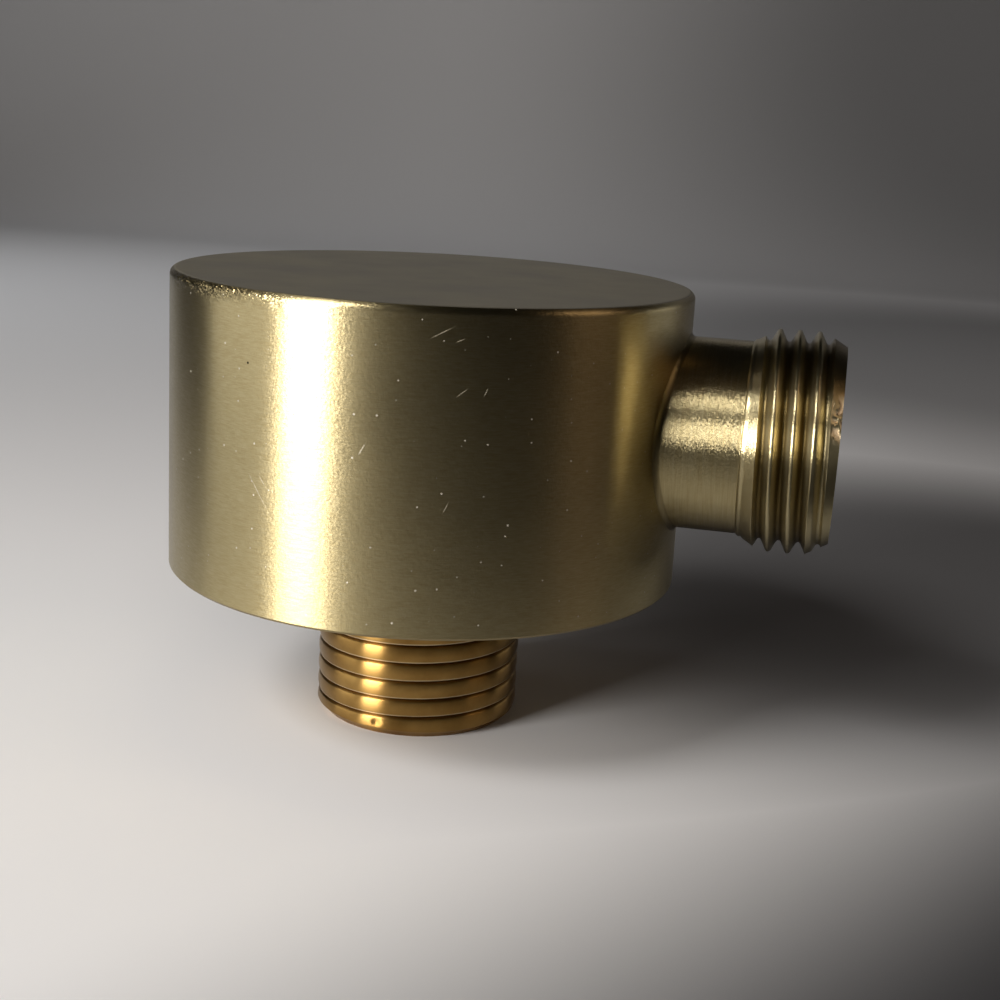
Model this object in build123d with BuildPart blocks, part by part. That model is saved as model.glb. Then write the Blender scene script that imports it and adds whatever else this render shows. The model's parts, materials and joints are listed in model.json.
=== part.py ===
from build123d import *
import os

# Wall outlet elbow for a shower hose, in millimetres.
# The wall plane is Z = 0, the inlet axis is the Z axis and the outlet points along +X.
# It stands on the free end of its inlet nipple, with the front of the drum facing up.

# Drum
drum_radius = 25.0
side_wall = 3.0
front_wall = 4.0
front_edge_radius = 0.65
back_edge_chamfer = 0.25

# Inlet nipple, with a standard half-inch pipe thread drawn as a plain cylinder over its flat crests
nipple_crest_radius = 10.1
nipple_projection = 15.2
nipple_end_chamfer = 0.8
nipple_bore_radius = 5.5
nipple_screwed_radius = 9.9
nipple_screwed_length = 7.65
nipple_lead_chamfer = 0.6
key_across_flats = 12.0
key_depth = 9.0

# Boss in the back of the drum that the nipple screws into
boss_wall = 4.0
boss_recess = 1.0
screw_clearance = 0.05
boss_mouth_chamfer = 0.7

# Waterway from the nipple to the outlet
chamber_radius = 7.5
seat_to_bore = 0.35
outlet_bore_radius = 6.5
outlet_mouth_chamfer = 0.4
chamber_headroom = 1.0
chamber_roof = 5.5

# Duct that carries the outlet bore across the hollow back
duct_wall = 2.0
pocket_corner = 1.5

# Outlet neck and its half-inch hose thread, drawn as a plain cylinder over its crests
neck_wall = 2.6
neck_length = 5.85
neck_fillet = 0.4
runout_length = 2.3
thread_radius = 10.48
thread_length = 4.05
end_taper_length = 2.2
end_taper_rise = 1.25

# Sizes that follow from those above
boss_bore_radius = nipple_screwed_radius + screw_clearance
boss_radius = boss_bore_radius + boss_wall
seat_height = boss_recess + nipple_screwed_length
outlet_height = seat_height + seat_to_bore + outlet_bore_radius
chamber_top = outlet_height + outlet_bore_radius + chamber_headroom
drum_height = chamber_top + chamber_roof
pocket_ceiling = drum_height - front_wall
pocket_radius = drum_radius - side_wall
duct_radius = outlet_bore_radius + duct_wall
neck_radius = outlet_bore_radius + neck_wall
runout_start = drum_radius + neck_length
thread_start = runout_start + runout_length
thread_end = thread_start + thread_length
outlet_end = thread_end + end_taper_length
outlet_axis = Axis((0, 0, outlet_height), (1, 0, 0))
outlet_plane = Plane(origin=(0, 0, outlet_height), x_dir=(0, 1, 0), z_dir=(1, 0, 0))

# Hollow of the drum's back: a ring around the boss, with the duct left standing in it
with BuildPart() as back_hollow:
    with BuildSketch():
        Circle(pocket_radius)
    extrude(amount=pocket_ceiling)
    with BuildSketch(Plane.XY.offset(boss_recess)):
        Circle(boss_radius)
    extrude(until=Until.LAST, mode=Mode.SUBTRACT)
    with BuildSketch(outlet_plane):
        Circle(duct_radius)
        with Locations((0, chamber_top / 2)):
            Rectangle(2 * duct_radius, chamber_top)
    extrude(amount=drum_radius, mode=Mode.SUBTRACT)
    chamfer(back_hollow.faces().sort_by(Axis.Z)[-1].edges(), pocket_corner)

# Drum, neck and outlet thread, cast in one and bored for the waterway
with BuildPart() as elbow_body:
    with BuildSketch():
        Circle(drum_radius)
    extrude(amount=drum_height)
    fillet(elbow_body.edges().group_by(Axis.Z)[-1], front_edge_radius)
    chamfer(elbow_body.edges().group_by(Axis.Z)[0], back_edge_chamfer)
    with BuildSketch(Plane.XZ):
        with BuildLine():
            Polyline(
                (0, outlet_height),
                (0, outlet_height + neck_radius),
                (runout_start, outlet_height + neck_radius),
                (thread_start, outlet_height + thread_radius),
                (thread_end, outlet_height + thread_radius),
                (outlet_end, outlet_height + thread_radius - end_taper_rise),
                (outlet_end, outlet_height),
                close=True,
            )
        make_face()
    revolve(axis=outlet_axis)
    neck_root = elbow_body.edges().filter_by(GeomType.BSPLINE)
    fillet(neck_root, neck_fillet)
    add(back_hollow.part, mode=Mode.SUBTRACT)
    with BuildSketch(Plane.XY.offset(boss_recess)):
        Circle(boss_bore_radius)
    extrude(amount=nipple_screwed_length, mode=Mode.SUBTRACT)
    boss_face = elbow_body.faces().filter_by(Axis.Z).filter_by_position(Axis.Z, boss_recess, boss_recess)
    chamfer(boss_face.edges().sort_by(SortBy.RADIUS)[0], boss_mouth_chamfer)
    with BuildSketch(Plane.XY.offset(seat_height)):
        Circle(chamber_radius)
    extrude(amount=chamber_top - seat_height, mode=Mode.SUBTRACT)
    with BuildSketch(outlet_plane):
        Circle(outlet_bore_radius)
    extrude(amount=outlet_end, mode=Mode.SUBTRACT)
    seal_face = elbow_body.faces().filter_by(Axis.X).sort_by(Axis.X)[-1]
    chamfer(seal_face.edges().sort_by(SortBy.RADIUS)[0], outlet_mouth_chamfer)

# Raw brass nipple, screwed into the boss up to its seat
with BuildPart() as inlet_nipple:
    with BuildSketch(Plane.XZ):
        with BuildLine():
            Polyline(
                (nipple_bore_radius, -nipple_projection),
                (nipple_crest_radius - nipple_end_chamfer, -nipple_projection),
                (nipple_crest_radius, nipple_end_chamfer - nipple_projection),
                (nipple_crest_radius, boss_recess),
                (nipple_screwed_radius, boss_recess),
                (nipple_screwed_radius, seat_height - nipple_lead_chamfer),
                (nipple_screwed_radius - nipple_lead_chamfer, seat_height),
                (nipple_bore_radius, seat_height),
                close=True,
            )
        make_face()
    revolve(axis=Axis.Z)
    with BuildSketch(Plane.XY.offset(-nipple_projection)):
        RegularPolygon(key_across_flats / 2, 6, major_radius=False)
    extrude(amount=key_depth, mode=Mode.SUBTRACT)

os.makedirs("parts", exist_ok=True)
elbow_body.part.label = "elbow_body"
export_step(elbow_body.part, "parts/elbow_body.step")
inlet_nipple.part.label = "inlet_nipple"
export_step(inlet_nipple.part, "parts/inlet_nipple.step")
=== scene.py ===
import json
import math
from typing import NamedTuple

import bmesh
import bpy
from mathutils import Matrix, Quaternion, Vector, noise


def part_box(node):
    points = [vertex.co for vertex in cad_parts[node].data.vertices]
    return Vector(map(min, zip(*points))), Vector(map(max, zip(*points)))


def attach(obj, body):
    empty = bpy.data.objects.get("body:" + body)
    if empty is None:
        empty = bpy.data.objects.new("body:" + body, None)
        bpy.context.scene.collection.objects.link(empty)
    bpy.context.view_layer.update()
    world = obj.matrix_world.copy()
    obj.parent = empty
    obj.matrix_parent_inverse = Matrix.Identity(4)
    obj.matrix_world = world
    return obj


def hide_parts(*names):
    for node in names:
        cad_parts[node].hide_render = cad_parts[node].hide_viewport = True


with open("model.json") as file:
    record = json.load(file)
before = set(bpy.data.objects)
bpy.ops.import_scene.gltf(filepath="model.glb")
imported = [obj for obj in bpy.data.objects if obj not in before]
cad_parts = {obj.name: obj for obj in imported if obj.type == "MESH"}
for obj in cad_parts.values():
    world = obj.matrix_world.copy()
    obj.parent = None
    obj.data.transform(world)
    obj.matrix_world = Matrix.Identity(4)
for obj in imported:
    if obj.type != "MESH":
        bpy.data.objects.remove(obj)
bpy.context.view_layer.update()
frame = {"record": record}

bl_info = {
    "name": "Wall outlet elbow",
    "version": (1, 0, 0),
    "blender": (4, 5, 0),
    "location": "View3D > Sidebar > Elbow",
    "description": "Builds a brushed gold wall outlet elbow with its threads, finishes and studio",
    "category": "Object",
}

MM = 0.001
BODY_HIGH = Vector(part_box("elbow_body")[1])
NIPPLE_LOW, NIPPLE_HIGH = (Vector(corner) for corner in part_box("inlet_nipple"))
MOUNTS = {mount["name"]: mount for mount in frame["record"]["mounts"]}
INLET_THREAD = MOUNTS["inlet_thread"]["dims"]
OUTLET_THREAD = MOUNTS["outlet_thread"]["dims"]
OUTLET_MIDDLE = Vector(MOUNTS["outlet_thread"]["pos_m"])
OUTLET_HALF = OUTLET_THREAD["length_mm"] * MM / 2
PIPE_PITCH = 1.814 * MM

# Columns and rows of the turned meshes
DRUM_STEPS = 288
THREAD_STEPS = 240
THREAD_ROWS = 32
ROUND_SEGMENTS = 8

# Edges sharper than this, in degrees, stay crisp when a piece is smoothed.
SHARP_EDGE = 35

# How near vertices are merged, and how near a ring its edges are found
WELD, ON_RING = 0.0005 * MM, 0.01 * MM

# A 55 degree pipe thread: half the angle between its flanks, and its rounding and depth in pitches
PIPE_FLANK, PIPE_ROUNDING, PIPE_DEPTH = math.radians(55 / 2), 0.1373, 0.6403

# How far the edges of the nipple's crests are eased
CREST_EASE = 0.07 * MM

# Sockets of the colour Mix node
MIX_A, MIX_B, MIX_RESULT = 6, 7, 2

# Noise lies mostly between these values, so ramps over it start and stop there.
NOISE_REACH = (0.3, 0.7)


def linear(code):
    """Turns an sRGB hex colour into linear RGBA."""
    shares = [int(code[place:place + 2], 16) / 255 for place in (0, 2, 4)]
    return (*(s / 12.92 if s <= 0.04045 else ((s + 0.055) / 1.055) ** 2.4 for s in shares), 1.0)


def length(label, metres, words):
    """A size that the panel shows in the scene's units."""
    return bpy.props.FloatProperty(
        name=label, description=words, default=metres, min=0.0, precision=5, unit="LENGTH")


def colour(label, code, words):
    """A colour that the panel shows as a swatch."""
    return bpy.props.FloatVectorProperty(
        name=label, description=words, default=linear(code), size=4, min=0.0, max=1.0, subtype="COLOR")


class DrumSizes(bpy.types.PropertyGroup):
    """Sizes of the drum, its hollow back and its boss."""
    radius: length("Radius", BODY_HIGH.y, "Radius of the drum's side")
    height: length("Height", BODY_HIGH.z, "From the wall plane to the front face")
    front_edge: length("Front edge", 0.65 * MM, "Radius of the rounded front edge")
    back_edge: length("Back edge", 0.25 * MM, "Chamfer of the back edge")
    side_wall: length("Side wall", 3.0 * MM, "Thickness of the drum's side")
    front_wall: length("Front wall", 4.0 * MM, "Thickness of the drum's front")
    hollow_corner: length("Hollow corner", 1.5 * MM, "Radius in the corners of the hollow back")
    boss_radius: length("Boss radius", 13.95 * MM, "Outside of the boss that holds the nipple")
    boss_recess: length("Boss recess", NIPPLE_HIGH.z - 7.65 * MM, "How far the boss lies behind the wall plane")
    boss_bore: length("Boss bore", 9.95 * MM, "Radius of the boss's bore")
    boss_mouth: length("Boss mouth", 0.7 * MM, "Chamfer of the boss's mouth")
    seat_height: length("Seat height", NIPPLE_HIGH.z, "Height of the seat that the nipple screws up to")
    chamber_radius: length("Chamber radius", 7.5 * MM, "Radius of the water chamber")
    chamber_top: length("Chamber top", 23.0 * MM, "Height of the water chamber's roof")


class OutletSizes(bpy.types.PropertyGroup):
    """Sizes of the outlet's neck, thread and bore."""
    height: length("Height", OUTLET_MIDDLE.z, "Height of the outlet's axis above the wall plane")
    bore: length("Bore", 6.5 * MM, "Radius of the outlet's bore")
    mouth: length("Mouth", 0.4 * MM, "Chamfer of the bore's mouth")
    duct_radius: length("Duct radius", 8.5 * MM, "Outside of the duct across the hollow back")
    neck_radius: length("Neck radius", 9.1 * MM, "Radius of the plain neck")
    neck_fillet: length("Neck fillet", 0.4 * MM, "Fillet between the neck and the drum")
    runout_start: length("Run-out start", 30.85 * MM, "Where the neck starts to rise to the thread")
    thread_start: length("Thread start", OUTLET_MIDDLE.x - OUTLET_HALF, "Where the full crests start")
    thread_end: length("Thread end", OUTLET_MIDDLE.x + OUTLET_HALF, "Where the full crests end")
    end: length("End", BODY_HIGH.x, "Where the outlet ends")
    end_radius: length("End radius", 9.23 * MM, "Radius of the outlet's end edge")
    crest_radius: length("Crest radius", OUTLET_THREAD["r_mm"] * MM, "Radius over the thread's crests")
    pitch: length("Pitch", PIPE_PITCH, "Pitch of the half-inch pipe thread")
    lip: length("Lip", 0.08 * MM, "Height of the bead where the neck ends")
    crest_place: length("Crest place", 33.16 * MM, "Where a crest passes the top of the outlet")


class NippleSizes(bpy.types.PropertyGroup):
    """Sizes of the inlet nipple, its thread and its key socket."""
    projection: length("Projection", -NIPPLE_LOW.z, "From the wall plane to the nipple's free end")
    crest_radius: length("Crest radius", INLET_THREAD["r_mm"] * MM, "Radius over the thread's broad crests")
    end_chamfer: length("End chamfer", 0.8 * MM, "Chamfer of the free end")
    bore: length("Bore", 5.5 * MM, "Radius of the nipple's bore")
    screwed_radius: length("Screwed radius", 9.4 * MM, "Radius of the stretch inside the boss")
    key_width: length("Key width", 12.0 * MM, "Hexagon key socket, across its flats")
    key_depth: length("Key depth", 9.0 * MM, "Depth of the key socket")
    pitch: length("Pitch", PIPE_PITCH, "Pitch of the half-inch pipe thread")
    groove_depth: length("Groove depth", 0.26 * MM, "Depth of the thread's V grooves")
    barrel: length("Barrel", 0.15 * MM, "How far a crest falls off from its middle to its edges")
    groove_place: length("Groove place", 5.43 * MM, "How far below the wall plane a groove passes the outlet's side")


class FinishColours(bpy.types.PropertyGroup):
    """Colours of the two finishes and of the floor."""
    gold: colour("Gold plating", "BAAD86", "Pale gold plating, brushed")
    gold_low: colour("Gold plating, low", "AD9D72", "The plating between its brush lines")
    # Also painted shade: on the drum's back edge, in the neck's joint and over the top of the outlet's end
    gold_grime_and_shade: colour("Gold plating, grooves", "6C5C38", "Plating dulled by grime, in grooves, joints and knocks")
    bare_metal: colour("Bare metal", "E2C8A2", "Metal laid bare where the plating is chipped")
    dust: colour("Dust", "D8D6CE", "Dust and scuffs on the plating")
    film: colour("Film", "7E7D7A", "Thin film of dust on the front face")
    pit: colour("Pit", "14120C", "A dark pit in the drum's side")
    brass: colour("Raw brass", "AC8A50", "Turned brass, bare")
    tarnish: colour("Tarnish", "745222", "Brass browned by tarnish")
    # Painted highlight: the floor's reflection on the lower edges of the nipple's crests
    painted_highlight: colour("Rubbed brass", "EFDDB6", "Brass rubbed bright on the lower edges of the crests")
    floor: colour("Floor", "F0F0F1", "Pale matt paper of the floor")
    # Painted shade: the grey of the floor's graded shade and pooled shadows
    floor_painted_shade: colour("Floor, deep", "3C3C3E", "Grey that the paper is graded to around the object")


class Spindle:
    """A straight axis that round work is turned about, with the side where the turning starts."""

    def __init__(self, centre, axis, start):
        self.centre, self.axis, self.start = Vector(centre), Vector(axis), Vector(start)

    def point(self, along, radius):
        """The point at that place along the axis and radius, on the side where the turning starts."""
        return self.centre + self.axis * along + self.start * radius

    def measure(self, co):
        """A point's place along the axis, its radius and its direction outwards."""
        along = (co - self.centre).dot(self.axis)
        out = co - self.centre - self.axis * along
        return along, out.length, out.normalized()

    def put(self, vertex, along, radius):
        """Moves a vertex along the axis and out from it, and keeps its angle."""
        vertex.co = self.centre + self.axis * along + self.measure(vertex.co)[2] * radius

    def ring(self, along, radius):
        """A move that puts each vertex on a ring at that place and radius."""
        return lambda vertex: self.put(vertex, along, radius)


def turn(bm, section, spindle, steps, pitch=0.0, turns=1):
    """Turns a section of (along, radius) points about a spindle, or screws it along by a pitch each turn."""
    verts = [bm.verts.new(spindle.point(along, radius)) for along, radius in section]
    edges = [bm.edges.new(pair) for pair in zip(verts, verts[1:])]
    bmesh.ops.spin(
        bm, geom=verts + edges, cent=spindle.centre, axis=spindle.axis, dvec=spindle.axis * pitch / steps,
        angle=math.tau, steps=steps, use_merge=pitch == 0.0)
    first_turn = bm.verts[:] + bm.edges[:] + bm.faces[:]
    for later in range(1, turns):
        copy = bmesh.ops.duplicate(bm, geom=first_turn)["geom"]
        verts = [piece for piece in copy if isinstance(piece, bmesh.types.BMVert)]
        bmesh.ops.translate(bm, verts=verts, vec=spindle.axis * pitch * later)
    bmesh.ops.remove_doubles(bm, verts=bm.verts, dist=WELD)


def round_ring(bm, spindle, along, radius, size):
    """Rounds the ring of edges at that place and radius."""
    def on_ring(vertex):
        place, reach, _ = spindle.measure(vertex.co)
        return abs(place - along) < ON_RING and abs(reach - radius) < ON_RING
    ring = [edge for edge in bm.edges if all(on_ring(vertex) for vertex in edge.verts)]
    bmesh.ops.bevel(
        bm, geom=ring, offset=size, offset_type="OFFSET", affect="EDGES", segments=ROUND_SEGMENTS,
        profile=0.5, material=-1)


def rounded_thread(pitch, off):
    """How deep a pipe thread lies at a distance from its crest, with crest and root rounded alike."""
    rounding, depth = PIPE_ROUNDING * pitch, PIPE_DEPTH * pitch
    bend = rounding * math.cos(PIPE_FLANK)
    if off < bend:
        return rounding - math.sqrt(rounding ** 2 - off ** 2)
    if off > pitch / 2 - bend:
        return depth - rounding + math.sqrt(rounding ** 2 - (pitch / 2 - off) ** 2)
    return rounding * (1 - math.sin(PIPE_FLANK)) + (off - bend) / math.tan(PIPE_FLANK)


def barrelled_thread(pitch, off, depth, barrel):
    """The same for a thread with broad barrelled crests and narrow V grooves, whose edges are eased."""
    groove = depth - (pitch / 2 - off) / math.tan(PIPE_FLANK)
    return barrel * (2 * off / pitch) ** 2 + (groove + math.hypot(groove, CREST_EASE)) / 2


def thread_section(crest_radius, pitch, crest_at, sunk):
    """One pitch of a thread from crest to crest, where sunk gives the depth at a distance from a crest."""
    shares = [row / THREAD_ROWS for row in range(THREAD_ROWS + 1)]
    return [(crest_at + pitch * share, crest_radius - sunk(pitch * min(share, 1 - share))) for share in shares]


def ease(value, low, high):
    """Rises smoothly from 0 at low to 1 at high, or falls where high is the smaller."""
    share = min(1.0, max(0.0, (value - low) / (high - low)))
    return share * share * (3 - 2 * share)


def trim(bm, spindle, along, keep_below):
    """Cuts off what lies past a place on the spindle, and gives the open rim."""
    cut = bmesh.ops.bisect_plane(
        bm, geom=bm.verts[:] + bm.edges[:] + bm.faces[:], dist=WELD, plane_co=spindle.point(along, 0.0),
        plane_no=spindle.axis, clear_outer=keep_below, clear_inner=not keep_below)
    return [piece for piece in cut["geom_cut"] if isinstance(piece, bmesh.types.BMEdge)]


def draw_out(bm, rim, *moves):
    """Extrudes an open rim once for each move, which places the new vertices, and gives the last rim."""
    for move in moves:
        grown = bmesh.ops.extrude_edge_only(bm, edges=rim)["geom"]
        verts = {piece for piece in grown if isinstance(piece, bmesh.types.BMVert)}
        for vertex in verts:
            move(vertex)
        rim = [piece for piece in grown if isinstance(piece, bmesh.types.BMEdge) and verts.issuperset(piece.verts)]
    return rim


def new_piece(context, name, bm):
    """Makes an object of a bmesh, with its faces outwards."""
    bmesh.ops.recalc_face_normals(bm, faces=bm.faces)
    mesh = bpy.data.meshes.new(name)
    bm.to_mesh(mesh)
    bm.free()
    piece = bpy.data.objects.new(name, mesh)
    context.scene.collection.objects.link(piece)
    return piece


def combine(context, piece, tool, operation):
    """Joins a tool to a piece or cuts it away, and removes the tool."""
    boolean = piece.modifiers.new(operation.lower(), "BOOLEAN")
    boolean.operation, boolean.solver, boolean.object = operation, "EXACT", tool
    context.view_layer.update()
    merged = bpy.data.meshes.new_from_object(piece.evaluated_get(context.evaluated_depsgraph_get()))
    if not merged.polygons:
        raise RuntimeError(f"{operation} left nothing of {piece.name}")
    piece.modifiers.clear()
    old = piece.data
    piece.data = merged
    bpy.data.meshes.remove(old)
    bpy.data.objects.remove(tool)


def dress(piece, materials, node):
    """Smooths a piece between its sharp edges, gives it its finishes and sets it on the frame."""
    piece.data.shade_smooth()
    piece.data.set_sharp_from_angle(angle=math.radians(SHARP_EDGE))
    piece.data.materials.clear()
    for material in materials:
        piece.data.materials.append(material)
    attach(piece, "root")
    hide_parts(node)


def feed(tree, node, links):
    """Gives a node's inputs another node's output or a value."""
    for socket, source in links.items():
        if isinstance(source, bpy.types.NodeSocket):
            tree.links.new(source, node.inputs[socket])
        else:
            node.inputs[socket].default_value = source


def add(tree, kind, links=None, **settings):
    """Adds a shader node with its settings and feeds its inputs."""
    node = tree.nodes.new("ShaderNode" + kind)
    for name, value in settings.items():
        setattr(node, name, value)
    feed(tree, node, links or {})
    return node


def new_material(name):
    """An empty node material, its tree, its shader and its Object coordinates."""
    material = bpy.data.materials.new(name)
    material.use_nodes = True
    tree = material.node_tree
    tree.nodes.clear()
    shader = add(tree, "BsdfPrincipled")
    add(tree, "OutputMaterial", {"Surface": shader.outputs["BSDF"]})
    return material, tree, shader, add(tree, "TexCoord").outputs["Object"]


def calc(tree, operation, *values, **settings):
    """The result of a calculation with numbers."""
    return add(tree, "Math", dict(enumerate(values)), operation=operation, **settings).outputs[0]


def vector(tree, operation, *values):
    """The result of a calculation with vectors: a number for a length, a distance or a dot product."""
    result = "Value" if operation in ("LENGTH", "DISTANCE", "DOT_PRODUCT") else "Vector"
    return add(tree, "VectorMath", dict(enumerate(values)), operation=operation).outputs[result]


def ramp(tree, value, start, stop, low=0.0, high=1.0, **settings):
    """Maps a value between start and stop to low and high, and holds it past either end."""
    return add(tree, "MapRange", {
        "Value": value, "From Min": start, "From Max": stop, "To Min": low, "To Max": high}, **settings).outputs[0]


def blend(tree, share, under, over):
    """Lays one colour over another by a share."""
    return add(tree, "Mix", {0: share, MIX_A: under, MIX_B: over}, data_type="RGBA").outputs[MIX_RESULT]


def attribute(tree, name):
    """A mask that is painted on the mesh's vertices."""
    return add(tree, "Attribute", attribute_name=name).outputs["Fac"]


def grain(tree, place, size, detail, roughness=0.5):
    """Noise of a size in metres. A size for each axis draws it out into streaks."""
    scale = 1.0
    if isinstance(size, tuple):
        place = add(tree, "Mapping", {"Vector": place, "Scale": tuple(1 / reach for reach in size)}).outputs[0]
    else:
        scale = 1 / size
    return add(tree, "TexNoise", {
        "Vector": place, "Scale": scale, "Detail": detail, "Roughness": roughness}).outputs["Fac"]


def specks(tree, place, cell, bare, largest, **settings):
    """Round specks in the cells of a Voronoi pattern: a share of the cells stays bare, and sizes are in cells."""
    cells = add(tree, "TexVoronoi", {"Vector": place, "Scale": 1 / cell}, **settings)
    chosen = add(tree, "SeparateColor", {"Color": cells.outputs["Color"]}).outputs[0]
    return calc(tree, "LESS_THAN", cells.outputs["Distance"], ramp(tree, chosen, bare, 1.0, 0.0, largest))


def bump(tree, height, strength, depth):
    """A normal that follows a fine relief."""
    return add(tree, "Bump", {"Height": height, "Strength": strength, "Distance": depth}).outputs[0]


def sparkle(tree, normal, place, size, tilt):
    """Breaks a normal into small facets, each tilted a little at random, so that the edges of highlights sparkle."""
    facets = add(tree, "TexVoronoi", {"Vector": place, "Scale": 1 / size}).outputs["Color"]
    lean = vector(tree, "SUBTRACT", facets, (0.5, 0.5, 0.5))
    lean = add(tree, "VectorMath", {0: lean, "Scale": tilt}, operation="SCALE").outputs[0]
    return vector(tree, "NORMALIZE", vector(tree, "ADD", normal, lean))


def smeared(tree, axis, amount):
    """Shader inputs for tool marks that run round an axis, which smear lamps along it."""
    around = add(tree, "Tangent", direction_type="RADIAL", axis=axis).outputs[0]
    return {"Tangent": around, "Anisotropic": amount, "Anisotropic Rotation": 0.25}


# Scuffs on the drum: place round the side from the front, height, lean in degrees, length and width, in mm
SCUFFS = (
    (-9.15, 11.4, -53, 4.6, 0.08),
    (-8.6, 12.3, -50, 1.6, 0.07),
    (0.7, 16.3, 62, 1.3, 0.14),
    (7.0, 26.4, 28, 2.7, 0.11),
    (8.5, 25.8, 24, 0.9, 0.12),
    (8.8, 21.5, 38, 1.5, 0.10),
    (10.8, 21.6, 66, 0.9, 0.09),
    (7.9, 11.8, 65, 1.4, 0.09),
)

# Distance, in half lengths of a scuff, that the search for the nearest scuff starts from
NO_SCUFF = 9.0

# A dark pit in the drum's side: its place on the unrolled side, and the radii of its rim and its floor
PIT, PIT_RADII = (-10.47 * MM, 22.3 * MM, 0.0), (0.13 * MM, 0.08 * MM)

# Knocks on the front edge: where they rise and fade round the side, in radians, and the heights that they lie between
KNOCKS_RISE, KNOCKS_FADE = ([math.radians(angle) for angle in pair] for pair in ((-14, -28), (-64, -52)))
KNOCKS_HEIGHTS = (BODY_HIGH.z - 1.9 * MM, BODY_HIGH.z - 0.3 * MM)

# Heights between which painted shade fades from the drum's back edge
BACK_EDGE_SHADE = (0.3 * MM, 0.2 * MM)


def brushed_drum_gold(colours):
    """Gold-coloured plating over brass, brushed round the drum.

    The brush lines run round the side, so lamps smear into upright bands with sparkling, grainy edges.
    The plating is scuffed and dusted in a few places and its front edge is knocked rough, most of all on the left.
    Painted shade darkens its back edge.
    """
    material, tree, shader, place = new_material("gold_plating_brushed_round")
    # Real brush lines are about 0.04 mm apart. They are drawn 0.1 mm apart and 1 mm long, so that they show.
    lines = grain(tree, place, (1.0 * MM, 1.0 * MM, 0.1 * MM), 2.0, 0.6)
    flecks = grain(tree, place, 0.3 * MM, 1.0)
    smudge = grain(tree, place, 9.0 * MM, 3.0, 0.55)

    # Marks lie on the unrolled side: u runs round it in metres from the front, v is the height.
    axes = add(tree, "SeparateXYZ", {"Vector": place}).outputs
    angle = calc(tree, "ARCTAN2", axes["X"], calc(tree, "MULTIPLY", axes["Y"], -1.0))
    around = calc(tree, "MULTIPLY", angle, BODY_HIGH.y)
    unrolled = add(tree, "CombineXYZ", {"X": around, "Y": axes["Z"]}).outputs[0]
    nearest = NO_SCUFF
    for u, v, lean, long, wide in SCUFFS:
        local = add(tree, "Mapping", {
            "Vector": unrolled, "Location": (u * MM, v * MM, 0.0), "Rotation": (0.0, 0.0, math.radians(lean)),
            "Scale": (long * MM / 2, wide * MM / 2, 1.0)}, vector_type="TEXTURE").outputs[0]
        nearest = calc(tree, "MINIMUM", nearest, vector(tree, "LENGTH", local))
    scuffed = ramp(tree, calc(tree, "ADD", nearest, flecks), 1.5, 0.9, 0.0, 0.42)
    pit = ramp(tree, vector(tree, "DISTANCE", unrolled, PIT), *PIT_RADII)

    # Dust: specks of up to 0.2 mm in about half the cells of a 1.9 mm pattern.
    dust = specks(tree, unrolled, 1.9 * MM, 0.45, 0.052, voronoi_dimensions="2D")
    worn = calc(tree, "MAXIMUM", scuffed, calc(tree, "MULTIPLY", dust, 0.55))

    # Knocks: dull, tilted facets on the front edge, faint all round, strong from 20 to 58 degrees left of the front.
    strong = calc(tree, "MULTIPLY", ramp(tree, angle, *KNOCKS_RISE), ramp(tree, angle, *KNOCKS_FADE, 0.2, 1.0))
    strong = ramp(tree, strong, 0.0, 1.0, 0.1, 1.0)
    high = calc(tree, "POWER", ramp(tree, axes["Z"], *KNOCKS_HEIGHTS), 2.0)
    knocked = calc(tree, "MULTIPLY", strong, high)
    tilt = calc(tree, "MULTIPLY_ADD", knocked, 0.65, 0.025)

    gold = blend(tree, ramp(tree, lines, *NOISE_REACH), colours.gold_low, colours.gold)
    # Painted shade along the back edge, darkest at the edge
    gold = blend(tree, ramp(tree, axes["Z"], *BACK_EDGE_SHADE, 0.0, 0.7), gold, colours.gold_grime_and_shade)
    gold = blend(tree, calc(tree, "MULTIPLY", knocked, 0.5), gold, colours.gold_grime_and_shade)
    gold = blend(tree, worn, gold, colours.dust)
    gold = blend(tree, pit, gold, colours.pit)
    satin = ramp(tree, smudge, *NOISE_REACH, 0.34, 0.38)
    relief = bump(tree, calc(tree, "MULTIPLY_ADD", lines, 0.35, flecks), 1.0, 0.008 * MM)
    # Facets of brushed plating are finer than 0.05 mm. They are drawn 0.12 mm wide, so that they show.
    feed(tree, shader, {
        "Base Color": gold,
        "Metallic": ramp(tree, worn, 0.0, 1.0, 1.0, 0.0),
        "Roughness": calc(tree, "MULTIPLY_ADD", worn, 0.35, satin),
        "Normal": sparkle(tree, relief, place, 0.12 * MM, tilt),
        **smeared(tree, "Z", 0.85),
    })
    return material


def satin_front_gold(colours):
    """The same plating on the drum's front face, lapped to an even satin.

    It shows no lines and mirrors only soft shades, under a dust film that greys it and shows from any side.
    """
    material, tree, shader, place = new_material("gold_plating_satin_front")
    # The lapped grain is finer than 0.05 mm. It is drawn 0.2 mm wide, so that it shows.
    flecks = grain(tree, place, 0.2 * MM, 1.0)
    smudge = grain(tree, place, 9.0 * MM, 3.0, 0.55)
    gold = blend(tree, ramp(tree, smudge, *NOISE_REACH, 0.6, 0.8), colours.gold, colours.film)
    # Dust: specks of up to 0.26 mm in three of ten cells of a 3.2 mm pattern, of which the face cuts only a few.
    gold = blend(tree, specks(tree, place, 3.2 * MM, 0.7, 0.04), gold, colours.dust)
    feed(tree, shader, {
        "Base Color": gold,
        "Metallic": 0.87,
        "Roughness": ramp(tree, smudge, *NOISE_REACH, 0.46, 0.52),
        "Normal": bump(tree, flecks, 0.4, 0.002 * MM),
    })
    return material


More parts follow.
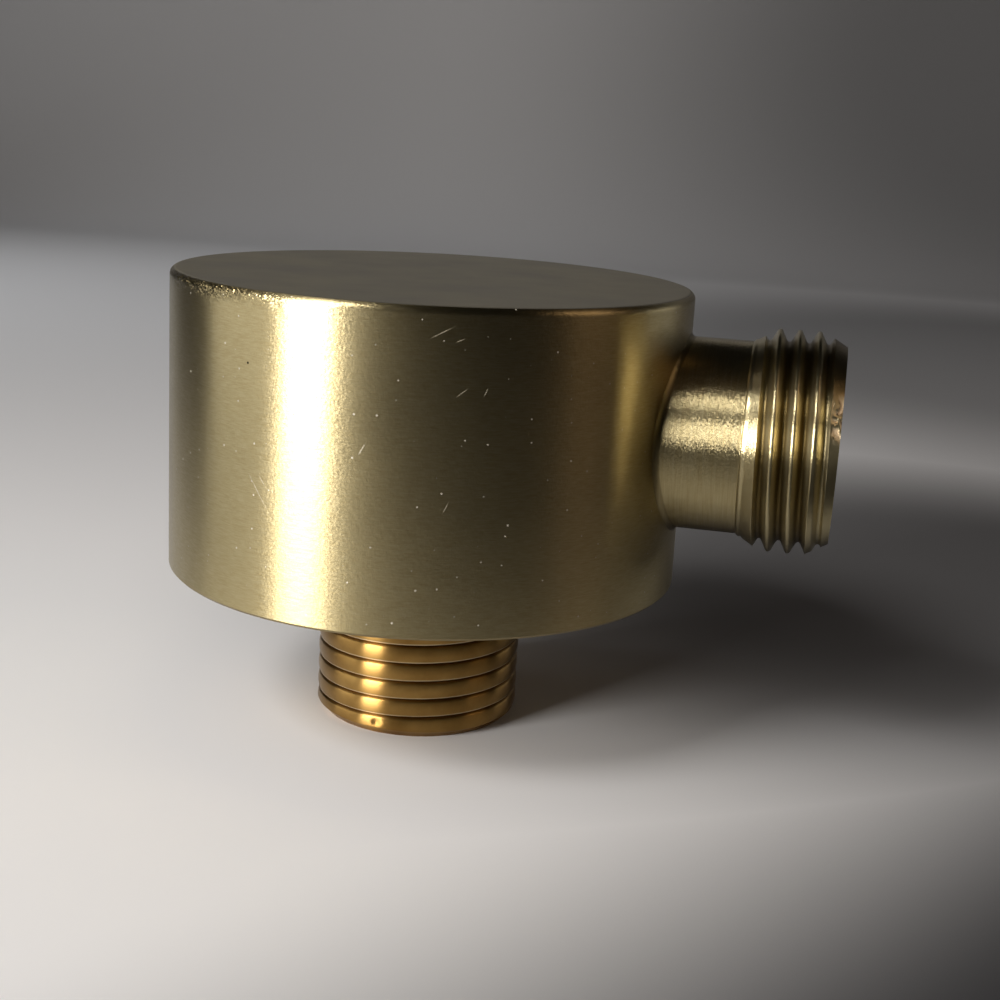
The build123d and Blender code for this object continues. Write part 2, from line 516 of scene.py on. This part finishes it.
def turned_neck_gold(colours):
    """The same plating on the turned neck.

    Tool marks run round it, so lamps smear along it in bright patches with sparkling edges. Grime and painted shade
    darken the joint.
    """
    material, tree, shader, place = new_material("gold_plating_turned_neck")
    # Tool marks of about 0.05 mm are drawn 0.15 mm apart, and the facets between them 0.1 mm wide, so that they show.
    marks = grain(tree, place, (0.15 * MM, 4.0 * MM, 4.0 * MM), 2.0, 0.6)
    # Grime and painted shade in the joint to the drum
    grime_and_shade = attribute(tree, "grime_and_shade")
    gold = blend(tree, ramp(tree, marks, *NOISE_REACH), colours.gold_low, colours.gold)
    gold = blend(tree, grime_and_shade, gold, colours.gold_grime_and_shade)
    feed(tree, shader, {
        "Base Color": gold,
        "Metallic": 1.0,
        "Roughness": calc(tree, "MULTIPLY_ADD", grime_and_shade, 0.2, 0.33),
        "Normal": sparkle(tree, bump(tree, marks, 0.6, 0.003 * MM), place, 0.1 * MM, 0.12),
        **smeared(tree, "X", 0.95),
    })
    return material


def cut_thread_gold(colours):
    """The same plating on the cut outlet thread.

    Tool marks smear lamps into broad bands on the crests. The grooves are darkened, painted shade darkens the end
    around its top and its edge is chipped to bare metal.
    """
    material, tree, shader, place = new_material("gold_plating_cut_thread")
    # The cut's grain and facets are finer than 0.05 mm. They are drawn 0.2 mm and 0.1 mm wide, so that they show.
    flecks = grain(tree, place, 0.2 * MM, 1.0)
    smudge = grain(tree, place, 3.0 * MM, 3.0)
    # The first mask darkens the grooves and lays painted shade over the top of the end; the second marks chips
    grime_and_shade, chipped = attribute(tree, "grime_and_shade"), attribute(tree, "chipped")
    gold = blend(tree, grime_and_shade, colours.gold, colours.gold_grime_and_shade)
    gold = blend(tree, chipped, gold, colours.bare_metal)
    gloss = ramp(tree, smudge, *NOISE_REACH, 0.28, 0.34)
    gloss = calc(tree, "MULTIPLY_ADD", grime_and_shade, 0.1, gloss)
    feed(tree, shader, {
        "Base Color": gold,
        "Metallic": 1.0,
        "Roughness": calc(tree, "MULTIPLY_ADD", chipped, 0.25, gloss),
        "Normal": sparkle(tree, bump(tree, flecks, 1.0, 0.004 * MM), place, 0.1 * MM, 0.1),
        **smeared(tree, "X", 0.85),
    })
    return material


def raw_turned_brass(colours):
    """Unplated brass with a turned thread.

    It is warm yellow on the crests, with a painted highlight of the floor's reflection on their lower edges, and
    browned in the grooves, and its tool marks smear lamps into upright patches.
    """
    material, tree, shader, place = new_material("brass_turned_unplated")
    # Tool marks of about 0.05 mm are drawn 0.2 mm apart, so that they show.
    marks = grain(tree, place, (8.0 * MM, 8.0 * MM, 0.2 * MM), 2.0, 0.6)
    stain = grain(tree, place, 4.0 * MM, 4.0, 0.6)
    flat = add(tree, "Mapping", {"Vector": place, "Scale": (1.0, 1.0, 0.0)}).outputs[0]
    crest = INLET_THREAD["r_mm"] * MM
    sunk = ramp(tree, vector(tree, "LENGTH", flat), crest - 0.1 * MM, crest - 0.45 * MM)
    browned = ramp(tree, stain, *NOISE_REACH, 0.1, 0.6)
    browned = calc(tree, "MULTIPLY_ADD", sunk, 0.4, browned, use_clamp=True)
    brass = blend(tree, browned, colours.brass, colours.tarnish)
    # Painted highlight of the floor's reflection on the crests' lower edges
    brass = blend(tree, attribute(tree, "painted_highlight"), brass, colours.painted_highlight)
    feed(tree, shader, {
        "Base Color": brass,
        "Metallic": 1.0,
        "Roughness": ramp(tree, stain, *NOISE_REACH, 0.30, 0.35),
        "Normal": bump(tree, marks, 0.6, 0.004 * MM),
        **smeared(tree, "Z", 0.95),
    })
    return material


# Painted shade on the floor's paper, graded in metres: ways that it deepens along, from where to where
FLOOR_PAINTED_SHADE = (((0.82, -0.57, 0.0), 0.02, 0.07), ((-0.75, -0.66, 0.0), 0.05, 0.1))

# Painted shadows: soft pools of grey behind the object, over its cast shadow: middle, radius where it is deepest,
# radius where it ends, and share
FLOOR_PAINTED_SHADOWS = (
    ((0.058, 0.065, -0.015), 0.035, 0.115, 0.86),
    ((0.10, 0.31, -0.015), 0.08, 0.22, 0.65),
    ((0.17, 0.70, 0.09), 0.1, 0.36, 0.65),
)


def pale_floor(colours):
    """Matt pale paper with painted shade: grey graded in front of the object and beside it, and painted shadows
    pooled behind it.

    It shows no gloss, and the painted shade keeps the metal that mirrors it dark.
    """
    material, tree, shader, place = new_material("paper_pale_painted_shade")
    shades = []
    for way, near, far in FLOOR_PAINTED_SHADE:
        along = vector(tree, "DOT_PRODUCT", place, way)
        shades.append(ramp(tree, along, near, far, interpolation_type="SMOOTHSTEP"))
    for middle, near, far, share in FLOOR_PAINTED_SHADOWS:
        off = vector(tree, "DISTANCE", place, middle)
        shades.append(ramp(tree, off, far, near, 0.0, share, interpolation_type="SMOOTHSTEP"))
    deep = 0.0
    for shade in shades:
        deep = calc(tree, "MAXIMUM", deep, shade)
    feed(tree, shader, {
        "Base Color": blend(tree, deep, colours.floor, colours.floor_painted_shade),
        "Roughness": 0.9,
        "Specular IOR Level": 0.2,
    })
    return material


INLET_SPINDLE = Spindle((0, 0, 0), (0, 0, 1), (1, 0, 0))

# Distance of the edge loops that hold a rounding, and of the neck's middle loop from the drum
SUPPORT, NECK_LOOP = 0.12 * MM, 2.5 * MM

# Faces of the drum whose normals rise at least this far belong to its front face
FRONT_RISE = 0.9

# How far joined and cut pieces reach into each other
OVERLAP = 2 * MM

# The way out of the chamber: how far it is cut into the tube's wall, and its sides
WAY_CUT, WAY_SIDES = 0.25 * MM, 96

# The bead where the neck ends: where it is full, starts to fall and has ended, from the start of the run-out
BEAD_FULL, BEAD_FALLS, BEAD_ENDS = 0.1 * MM, 0.15 * MM, 0.5 * MM

# Turns of the outlet's thread that are made before the first crest, and cut down to the neck
LEAD_TURNS = 3

# Darkening on the outlet: its share in the joint to the drum, where it is grime and painted shade, and the depths in
# the grooves between which it rises
JOINT_GRIME_AND_SHADE, GROOVE_DARKENING = 0.45, (0.35 * MM, 0.95 * MM)

# Painted shade around the top of the outlet's end, which dims reflections there: share, degrees from the top and
# distances from the end where it fades
END_SHADE, END_SHADE_SIDES, END_SHADE_FADE = 0.8, (66, 46), (1.9 * MM, 1.3 * MM)

# Chips in the end edge: degrees from the top where they start and stop, distances from the end, grain and depth
CHIPS_START, CHIPS_STOP, CHIPS_FADE = (48, 58), (80, 72), (1.1 * MM, 0.6 * MM)
CHIP_GRAIN, CHIP_BREAK, CHIP_DEPTH = 0.55 * MM, (-0.1, 0.1), 0.16 * MM

# Painted highlight, the floor's reflection, on the lower edges of the nipple's crests, in pitches from a crest's
# middle: where it rises and where it fades
PAINTED_HIGHLIGHT_RISE, PAINTED_HIGHLIGHT_FADE = (0.56, 0.59), (0.64, 0.61)

# A dent near the nipple's free end: middle, radii that it falls between and depth
DENT, DENT_RADII, DENT_DEPTH = Vector((-1.45, -9.95, -13.9)) * MM, (0.6 * MM, 0.05 * MM), 0.09 * MM


class WALL_ELBOW_OT_drum(bpy.types.Operator):
    """Turn the drum with its hollow back, boss and water chamber, and brush it gold"""
    bl_idname = "wall_elbow.drum"
    bl_label = "Drum"

    def execute(self, context):
        drum, outlet = context.scene.wall_elbow_drum, context.scene.wall_elbow_outlet
        hollow_radius = drum.radius - drum.side_wall
        ceiling = drum.height - drum.front_wall
        bm = bmesh.new()
        turn(bm, (
            (drum.height, 0.0),
            (drum.height, drum.radius / 2),
            (drum.height, drum.radius - drum.front_edge - SUPPORT),
            (drum.height, drum.radius),
            (drum.height - drum.front_edge - SUPPORT, drum.radius),
            (drum.back_edge + SUPPORT, drum.radius),
            (drum.back_edge, drum.radius),
            (0.0, drum.radius - drum.back_edge),
            (0.0, hollow_radius),
            (ceiling, hollow_radius),
            (ceiling, drum.boss_radius),
            (drum.boss_recess, drum.boss_radius),
            (drum.boss_recess, drum.boss_bore + drum.boss_mouth),
            (drum.boss_recess + drum.boss_mouth, drum.boss_bore),
            (drum.seat_height, drum.boss_bore),
            (drum.seat_height, drum.chamber_radius),
            (drum.chamber_top, drum.chamber_radius),
            (drum.chamber_top, 0.0),
        ), INLET_SPINDLE, DRUM_STEPS)
        round_ring(bm, INLET_SPINDLE, drum.height, drum.radius, drum.front_edge)
        round_ring(bm, INLET_SPINDLE, ceiling, hollow_radius, drum.hollow_corner)
        round_ring(bm, INLET_SPINDLE, ceiling, drum.boss_radius, drum.hollow_corner)
        piece = new_piece(context, "drum", bm)

        # The duct hangs from the ceiling of the hollow by a web as wide as itself.
        web_start, web_end = drum.boss_radius - OVERLAP, hollow_radius + drum.side_wall / 2
        web_top = ceiling + drum.front_wall / 2
        web_size = (web_end - web_start, 2 * outlet.duct_radius, web_top - outlet.height)
        web_middle = ((web_start + web_end) / 2, 0.0, (web_top + outlet.height) / 2)
        bm = bmesh.new()
        bmesh.ops.create_cube(bm, size=1.0)
        bmesh.ops.scale(bm, verts=bm.verts, vec=web_size)
        bmesh.ops.translate(bm, verts=bm.verts, vec=web_middle)
        combine(context, piece, new_piece(context, "web", bm), "UNION")

        # The way out of the chamber is cut inside the wall of the outlet's tube, which lines it.
        way = outlet.bore + WAY_CUT
        way_start, way_end = drum.chamber_radius / 4, drum.radius + OVERLAP
        way_middle = Matrix.Translation(((way_start + way_end) / 2, 0.0, outlet.height))
        bm = bmesh.new()
        bmesh.ops.create_cone(
            bm, cap_ends=True, segments=WAY_SIDES, radius1=way, radius2=way, depth=way_end - way_start,
            matrix=way_middle @ Matrix.Rotation(math.pi / 2, 4, "Y"))
        combine(context, piece, new_piece(context, "way", bm), "DIFFERENCE")
        colours = context.scene.wall_elbow_colours
        dress(piece, [brushed_drum_gold(colours), satin_front_gold(colours)], "elbow_body")
        for face in piece.data.polygons:
            if face.center.z > drum.height - drum.front_edge / 2 and face.normal.z > FRONT_RISE:
                face.material_index = 1
        return {"FINISHED"}


class WALL_ELBOW_OT_outlet(bpy.types.Operator):
    """Screw out the outlet's pipe thread, draw its neck onto the drum and its bore into the chamber"""
    bl_idname = "wall_elbow.outlet"
    bl_label = "Outlet"

    def execute(self, context):
        drum, outlet = context.scene.wall_elbow_drum, context.scene.wall_elbow_outlet
        spindle = Spindle((0, 0, outlet.height), (1, 0, 0), (0, 0, 1))
        lead = LEAD_TURNS * outlet.pitch
        turns = math.ceil((outlet.end - outlet.crest_place + lead) / outlet.pitch) + 1
        section = thread_section(
            outlet.crest_radius, outlet.pitch, outlet.crest_place - lead,
            lambda off: rounded_thread(outlet.pitch, off))
        bm = bmesh.new()
        turn(bm, section, spindle, THREAD_STEPS, outlet.pitch, turns)

        # The blank that the thread is cut into rises past a small bead to the full crests, and tapers off at its end.
        rise = (outlet.crest_radius - outlet.neck_radius) / (outlet.thread_start - outlet.runout_start)
        fall = (outlet.crest_radius - outlet.end_radius) / (outlet.end - outlet.thread_end)

        def blank(along):
            past = max(0.0, along - outlet.runout_start)
            bead = outlet.lip * ease(past, 0.0, BEAD_FULL) * ease(past, BEAD_ENDS, BEAD_FALLS)
            tapered = outlet.end_radius + max(0.0, outlet.end - along) * fall
            return min(outlet.crest_radius, outlet.neck_radius + past * rise + bead, tapered)

        for vertex in bm.verts:
            along, radius, _ = spindle.measure(vertex.co)
            spindle.put(vertex, along, min(radius, blank(along)))
        neck_rim = trim(bm, spindle, outlet.runout_start - SUPPORT, False)
        end_rim = trim(bm, spindle, outlet.end, True)

        def saddle(off, radius):
            def place(vertex):
                spindle.put(vertex, 0.0, radius)
                vertex.co.x = math.sqrt(drum.radius ** 2 - vertex.co.y ** 2) + off
            return place

        inner_end = drum.boss_bore + SUPPORT
        fillet = outlet.neck_fillet
        bends = [math.pi / 2 * step / ROUND_SEGMENTS for step in range(ROUND_SEGMENTS + 1)]
        rounding = [(fillet * (1 - math.sin(bend)), fillet * (1 - math.cos(bend))) for bend in bends]
        neck_rim = draw_out(
            bm, neck_rim,
            spindle.ring(drum.radius + NECK_LOOP, outlet.neck_radius),
            saddle(fillet + SUPPORT, outlet.neck_radius),
            *(saddle(off, outlet.neck_radius + widened) for off, widened in rounding),
            saddle(-drum.side_wall / 2, outlet.neck_radius + fillet),
            saddle(-drum.side_wall / 2, outlet.duct_radius),
            spindle.ring(inner_end, outlet.duct_radius))
        end_rim = draw_out(
            bm, end_rim,
            spindle.ring(outlet.end, outlet.bore + outlet.mouth),
            spindle.ring(outlet.end - outlet.mouth, outlet.bore),
            spindle.ring(inner_end, outlet.bore))
        bmesh.ops.bridge_loops(bm, edges=neck_rim + end_rim)

        # The thread's grooves are darkened, the joint to the drum gets grime and painted shade, and painted shade
        # darkens the top of the end.
        # Knocks have chipped the end edge on one side.
        grime_and_shade = bm.verts.layers.float.new("grime_and_shade")
        chipped = bm.verts.layers.float.new("chipped")
        for vertex in bm.verts:
            along, radius, out = spindle.measure(vertex.co)
            if radius < outlet.neck_radius - outlet.lip:
                continue
            joint = math.sqrt(drum.radius ** 2 - vertex.co.y ** 2) + fillet + SUPPORT / 2
            darkening = JOINT_GRIME_AND_SHADE if along < joint else ease(blank(along) - radius, *GROOVE_DARKENING)
            side, off_end = math.degrees(math.atan2(-out.y, out.z)), outlet.end - along
            vertex[grime_and_shade] = max(darkening, END_SHADE * ease(abs(side), *END_SHADE_SIDES) * ease(off_end, *END_SHADE_FADE))
            stretch = ease(side, *CHIPS_START) * ease(side, *CHIPS_STOP) * ease(off_end, *CHIPS_FADE)
            vertex[chipped] = stretch * ease(noise.noise(vertex.co / CHIP_GRAIN), *CHIP_BREAK)
            spindle.put(vertex, along, radius - CHIP_DEPTH * vertex[chipped])
        piece = new_piece(context, "outlet", bm)
        colours = context.scene.wall_elbow_colours
        dress(piece, [turned_neck_gold(colours), cut_thread_gold(colours)], "elbow_body")
        for face in piece.data.polygons:
            if face.center.x > outlet.runout_start:
                face.material_index = 1
        return {"FINISHED"}


class WALL_ELBOW_OT_nipple(bpy.types.Operator):
    """Screw out the inlet nipple's broad-crested thread, with its key socket and bore"""
    bl_idname = "wall_elbow.nipple"
    bl_label = "Inlet nipple"

    def execute(self, context):
        drum, nipple = context.scene.wall_elbow_drum, context.scene.wall_elbow_nipple
        spindle = INLET_SPINDLE
        free_end = -nipple.projection
        turns = math.ceil((nipple.projection + drum.boss_recess) / nipple.pitch) + 2
        first_crest = -nipple.groove_place - nipple.pitch / 2
        while first_crest + nipple.pitch > free_end:
            first_crest -= nipple.pitch
        section = thread_section(
            nipple.crest_radius, nipple.pitch, first_crest,
            lambda off: barrelled_thread(nipple.pitch, off, nipple.groove_depth, nipple.barrel))
        bm = bmesh.new()
        turn(bm, section, spindle, THREAD_STEPS, nipple.pitch, turns)

        # A painted highlight, the floor's reflection, lies along the crests' lower edges. The free end is chamfered
        # and has a dent.
        painted_highlight = bm.verts.layers.float.new("painted_highlight")
        for vertex in bm.verts:
            along, radius, out = spindle.measure(vertex.co)
            phase = ((along - first_crest) / nipple.pitch - math.atan2(out.y, out.x) / math.tau) % 1.0
            whole = ease(along, free_end + nipple.end_chamfer, free_end + 2 * nipple.end_chamfer)
            vertex[painted_highlight] = whole * ease(phase, *PAINTED_HIGHLIGHT_RISE) * ease(phase, *PAINTED_HIGHLIGHT_FADE)
            radius = min(radius, nipple.crest_radius - nipple.end_chamfer + max(0.0, along - free_end))
            spindle.put(vertex, along, radius - DENT_DEPTH * ease((vertex.co - DENT).length, *DENT_RADII))
        screwed_rim = trim(bm, spindle, drum.boss_recess, True)
        free_rim = trim(bm, spindle, free_end, False)

        def hexagon(along):
            def place(vertex):
                out = spindle.measure(vertex.co)[2]
                turned = math.atan2(out.y, out.x) % (math.pi / 3) - math.pi / 6
                spindle.put(vertex, along, nipple.key_width / 2 / math.cos(turned))
            return place

        key_end = free_end + nipple.key_depth
        screwed_rim = draw_out(
            bm, screwed_rim,
            spindle.ring(drum.boss_recess, nipple.screwed_radius),
            spindle.ring(drum.seat_height, nipple.screwed_radius),
            spindle.ring(drum.seat_height, nipple.bore))
        free_rim = draw_out(bm, free_rim, hexagon(free_end), hexagon(key_end), spindle.ring(key_end, nipple.bore))
        bmesh.ops.bridge_loops(bm, edges=screwed_rim + free_rim)
        piece = new_piece(context, "inlet_nipple_threaded", bm)
        dress(piece, [raw_turned_brass(context.scene.wall_elbow_colours)], "inlet_nipple")
        return {"FINISHED"}


# Camera, fitted to the photo's outlines
CAMERA_AIM = Vector((0.00768, -0.000429, 0.007073))
CAMERA_YAW, CAMERA_PITCH, CAMERA_ROLL = (math.radians(angle) for angle in (11.283, 13.838, 3.223))
CAMERA_DISTANCE = 0.15145
CAMERA_LENS, CAMERA_SENSOR, CAMERA_CLIP = 55.42, 36.0, 0.005

# The floor's paper, in metres: half its width, its front edge, the wall that it rises to, its top and its bend
FLOOR_HALF, FLOOR_FRONT, FLOOR_BACK, FLOOR_TOP = 1.5, -1.2, 0.75, 0.45
FLOOR_BEND, FLOOR_SEGMENTS = 0.25, 24

# Colour of the dim room around the stage
ROOM = "141415"

# Beam of a lamp that shines to all sides
OPEN_BEAM = 180.0


class Softbox(NamedTuple):
    """A soft lamp that looks at a point.

    Its side from the front, where left is negative, its rise and its beam are in degrees.
    Its distance and size are in metres.
    """
    side: float
    rise: float
    distance: float
    width: float
    height: float
    radiance: float
    tint: str
    beam: float = OPEN_BEAM
    aim: tuple = (0.0, 0.0, 0.014)


SOFTBOXES = {
    "window_low": Softbox(-37.6, 10, 0.40, 0.145, 0.18, 26.0, "FFFBF7"),
    "window_high": Softbox(-38.7, 44, 0.40, 0.15, 0.10, 20.0, "FFFBF7", 60.0),
    "panel_left": Softbox(-73, 6, 0.45, 0.26, 0.12, 3.0, "FFFDFA"),
    "strip_right": Softbox(88, 30, 0.60, 0.24, 0.30, 1.05, "FFDCBC"),
    "panel_back": Softbox(126, 5, 0.55, 0.24, 0.12, 1.0, "FFFDFA"),
    "wash_left": Softbox(-63, 46, 0.48, 0.30, 0.30, 6.0, "FAFCFF", 60.0, (-0.22, 0.28, -0.015)),
    "wash_back": Softbox(-30, 20, 0.45, 0.30, 0.10, 1.0, "FAFCFF", 70.0, (-0.5, 0.75, 0.15)),
}


def outwards(side, rise):
    """The direction out from the object at a side and a rise in radians."""
    return Vector((math.sin(side) * math.cos(rise), -math.cos(side) * math.cos(rise), math.sin(rise)))


class WALL_ELBOW_OT_stage(bpy.types.Operator):
    """Set the pale floor, the softboxes and the camera"""
    bl_idname = "wall_elbow.stage"
    bl_label = "Stage"

    def execute(self, context):
        scene = context.scene
        floor_height = -scene.wall_elbow_nipple.projection

        def row(y, z):
            return lambda vertex: setattr(vertex, "co", Vector((vertex.co.x, y, z)))

        bm = bmesh.new()
        start = [bm.verts.new((side * FLOOR_HALF, FLOOR_FRONT, floor_height)) for side in (-1, 1)]
        bend = draw_out(bm, [bm.edges.new(start)], row(FLOOR_BACK, floor_height))
        draw_out(bm, bend, row(FLOOR_BACK, FLOOR_TOP))
        bmesh.ops.bevel(
            bm, geom=bend, offset=FLOOR_BEND, offset_type="OFFSET", affect="EDGES", segments=FLOOR_SEGMENTS,
            profile=0.5, material=-1)
        floor = new_piece(context, "floor", bm)
        floor.data.shade_smooth()
        floor.data.materials.append(pale_floor(scene.wall_elbow_colours))

        for name, softbox in SOFTBOXES.items():
            towards = outwards(math.radians(softbox.side), math.radians(softbox.rise))
            half_beam, focus = math.radians(softbox.beam / 2), 1.0
            if softbox.beam < OPEN_BEAM:
                focus = math.tan(half_beam) / (math.tan(half_beam) - half_beam)
            lamp = bpy.data.lights.new(name, "AREA")
            lamp.shape, lamp.spread = "RECTANGLE", 2 * half_beam
            lamp.size, lamp.size_y = softbox.width, softbox.height
            lamp.energy = softbox.radiance * math.pi * softbox.width * softbox.height / focus
            lamp.color = linear(softbox.tint)[:3]
            box = bpy.data.objects.new(name, lamp)
            box.location = Vector(softbox.aim) + towards * softbox.distance
            box.rotation_euler = (-towards).to_track_quat("-Z", "Y").to_euler()
            box.visible_camera = False
            scene.collection.objects.link(box)

        world = bpy.data.worlds.new("dim_room")
        world.use_nodes = True
        world.node_tree.nodes["Background"].inputs["Color"].default_value = linear(ROOM)
        scene.world = world

        away = outwards(CAMERA_YAW, CAMERA_PITCH)
        turned = (-away).to_track_quat("-Z", "Y") @ Quaternion((0, 0, 1), CAMERA_ROLL)
        camera = bpy.data.objects.new("camera", bpy.data.cameras.new("camera"))
        camera.data.lens, camera.data.sensor_width, camera.data.clip_start = CAMERA_LENS, CAMERA_SENSOR, CAMERA_CLIP
        camera.location = CAMERA_AIM + away * CAMERA_DISTANCE
        camera.rotation_euler = turned.to_euler()
        scene.collection.objects.link(camera)
        scene.camera = camera
        scene.view_settings.view_transform = "Standard"
        return {"FINISHED"}


GROUPS = {
    "wall_elbow_drum": DrumSizes,
    "wall_elbow_outlet": OutletSizes,
    "wall_elbow_nipple": NippleSizes,
    "wall_elbow_colours": FinishColours,
}
OPERATORS = (WALL_ELBOW_OT_drum, WALL_ELBOW_OT_outlet, WALL_ELBOW_OT_nipple, WALL_ELBOW_OT_stage)


class VIEW3D_PT_wall_elbow(bpy.types.Panel):
    """Sizes, colours and steps of the wall outlet elbow"""
    bl_idname = "VIEW3D_PT_wall_elbow"
    bl_label = "Wall outlet elbow"
    bl_space_type = "VIEW_3D"
    bl_region_type = "UI"
    bl_category = "Elbow"

    def draw(self, context):
        for group in GROUPS:
            box = self.layout.box()
            settings = getattr(context.scene, group)
            for name in settings.__annotations__:
                box.prop(settings, name)
        for operator in OPERATORS:
            self.layout.operator(operator.bl_idname)


CLASSES = (*GROUPS.values(), *OPERATORS, VIEW3D_PT_wall_elbow)


def register():
    """Registers the classes and hangs the settings on the scene."""
    for cls in CLASSES:
        bpy.utils.register_class(cls)
    for name, group in GROUPS.items():
        setattr(bpy.types.Scene, name, bpy.props.PointerProperty(type=group))


def unregister():
    """Takes the settings off the scene and unregisters the classes."""
    for name in GROUPS:
        delattr(bpy.types.Scene, name)
    for cls in reversed(CLASSES):
        bpy.utils.unregister_class(cls)


def main():
    """Builds the elbow and its stage."""
    register()
    bpy.ops.wall_elbow.drum()
    bpy.ops.wall_elbow.outlet()
    bpy.ops.wall_elbow.nipple()
    bpy.ops.wall_elbow.stage()
    bpy.context.view_layer.update()


if __name__ == "__main__":
    main()
